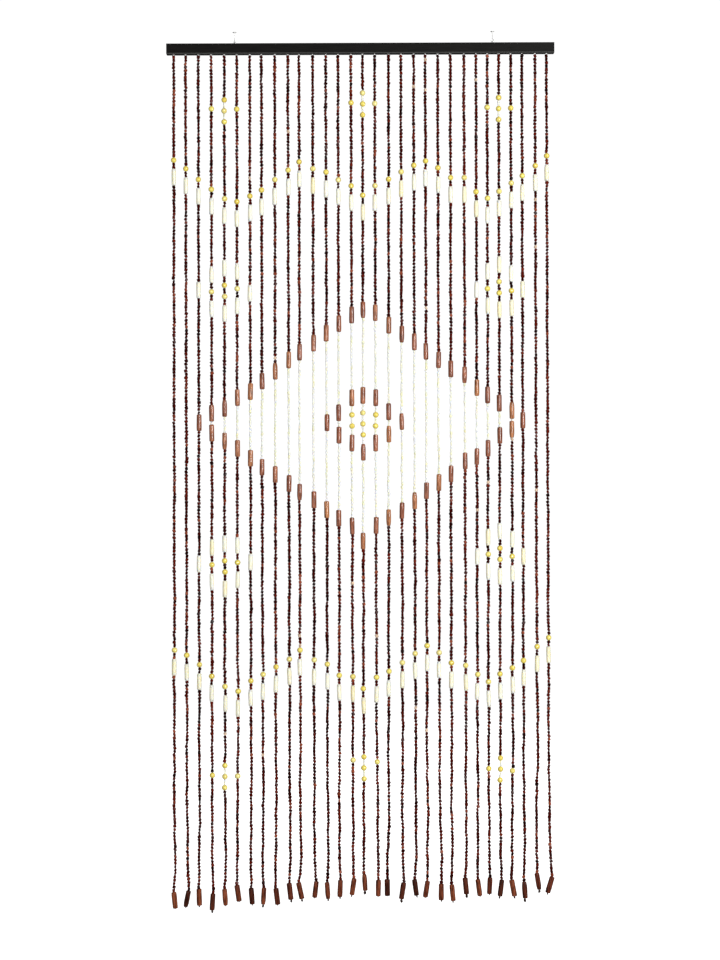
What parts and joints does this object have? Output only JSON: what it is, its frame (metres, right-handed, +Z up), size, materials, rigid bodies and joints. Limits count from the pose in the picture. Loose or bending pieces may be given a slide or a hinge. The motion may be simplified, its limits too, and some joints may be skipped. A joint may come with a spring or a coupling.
{
  "type": "wooden bead door curtain with rail and hooks",
  "caption": "Door curtain of hanging strings of wooden beads with a diamond and zigzag pattern, on a straight black rail held by screw eyes and small hooks.",
  "frame": {"origin": "over the middle of the rail, level with the tops of the hooks' flanges, where they meet the underside of the lintel", "axes": "+Z up, +X along the rail to the right as seen from the front, +Y towards the back; the front faces -Y"},
  "size_m": [0.9, 0.02, 2.046],
  "materials": {
    "rail_paint": "satin black paint on wood",
    "dark_beads": "dark red-brown stained and varnished",
    "brown_tubes": "mid red-brown stained and varnished",
    "cream_beads": "pale natural wood, satin",
    "yellow_balls": "golden yellow varnished wood",
    "hanging_metal": "bright plated steel wire",
    "thread": "dark waxed thread"
  },
  "bodies": {
    "root": {"rail": "rail_paint", "strings": "dark_beads", "eye_1": "hanging_metal", "eye_2": "hanging_metal", "hook_1": "hanging_metal", "hook_2": "hanging_metal"}
  },
  "joints": []
}
